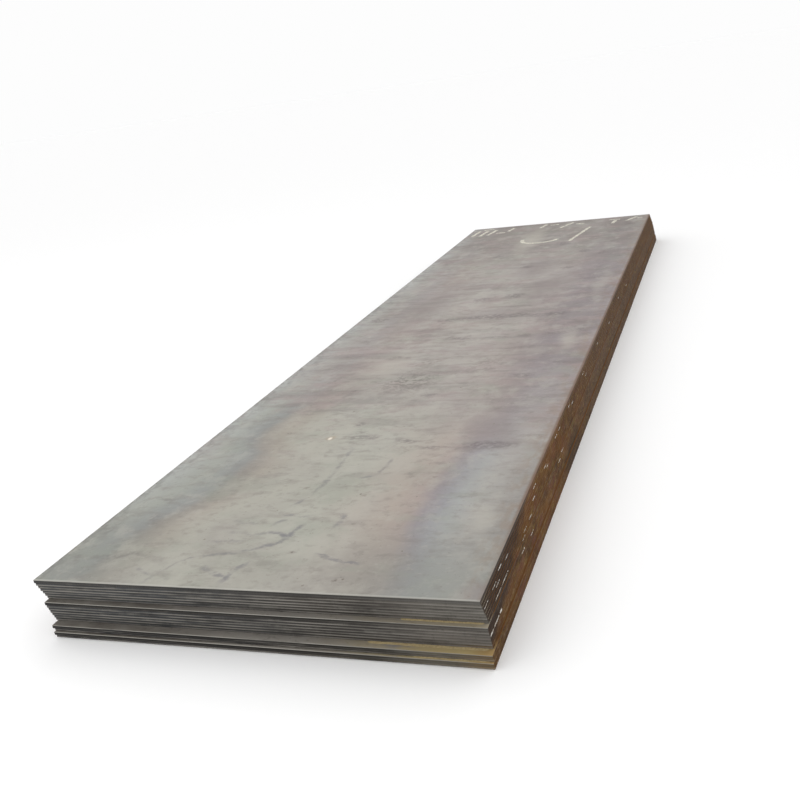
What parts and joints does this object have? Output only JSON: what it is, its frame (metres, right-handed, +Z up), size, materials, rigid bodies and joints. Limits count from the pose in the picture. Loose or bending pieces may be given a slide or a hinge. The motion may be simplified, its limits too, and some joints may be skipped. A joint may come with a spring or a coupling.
{
  "type": "steel plate stack",
  "caption": "Stack of hot-rolled steel plates lying flat in loose packs, with slipped front ends and rusted edges.",
  "frame": {"origin": "middle of the stack's bounding box in plan, on the ground", "axes": "+Y along the plates, away from the front end in the picture; +X across them to the right; +Z up"},
  "size_m": [1.5422, 6.0376, 0.2228],
  "materials": {
    "mill_scale_top": "matte",
    "mill_scale_upper": "matte",
    "mill_scale_middle": "matte",
    "mill_scale_lower": "matte"
  },
  "bodies": {
    "root": {"plate_01": "mill_scale_top", "plate_02": "mill_scale_upper", "plate_03": "mill_scale_upper", "plate_04": "mill_scale_upper", "plate_05": "mill_scale_upper", "plate_06": "mill_scale_upper", "plate_07": "mill_scale_upper", "plate_08": "mill_scale_middle", "plate_09": "mill_scale_middle", "plate_10": "mill_scale_middle", "plate_11": "mill_scale_middle", "plate_12": "mill_scale_middle", "plate_13": "mill_scale_middle", "plate_14": "mill_scale_middle", "plate_15": "mill_scale_lower", "plate_16": "mill_scale_lower", "plate_17": "mill_scale_lower", "plate_18": "mill_scale_lower"}
  },
  "joints": []
}
